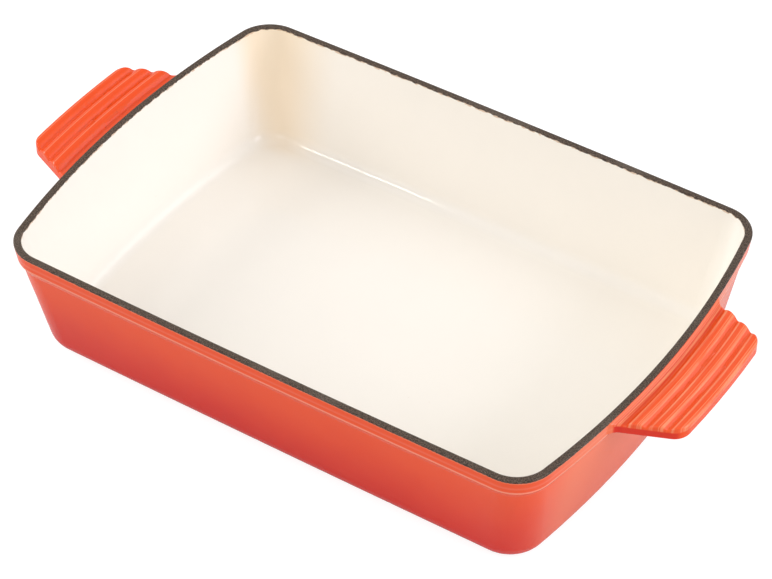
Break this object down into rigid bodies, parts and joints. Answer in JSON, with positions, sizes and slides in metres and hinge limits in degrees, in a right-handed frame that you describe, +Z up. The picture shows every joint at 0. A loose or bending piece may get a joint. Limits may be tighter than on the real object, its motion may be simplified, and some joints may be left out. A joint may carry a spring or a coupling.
{
  "type": "gratin dish",
  "caption": "Low rectangular gratin dish of enamelled cast iron, with bowed ends, a dark matt rim and ribbed end handles.",
  "frame": {"origin": "middle of the base's underside, on the surface that the dish stands on", "axes": "+X along the length through both handles, +Y across the width, +Z up out of the dish's opening"},
  "size_m": [0.398, 0.2355, 0.072],
  "materials": {
    "cast_iron": "as cast",
    "ground_coat": "matt",
    "cream_enamel": "glossy",
    "orange_enamel": "glossy"
  },
  "bodies": {
    "root": {"iron_tray": "cast_iron", "iron_handle_right": "cast_iron", "iron_handle_left": "cast_iron", "rim_ground_coat": "ground_coat", "lining_enamel": "cream_enamel", "outer_enamel": "orange_enamel", "base_enamel": "orange_enamel"}
  },
  "joints": []
}
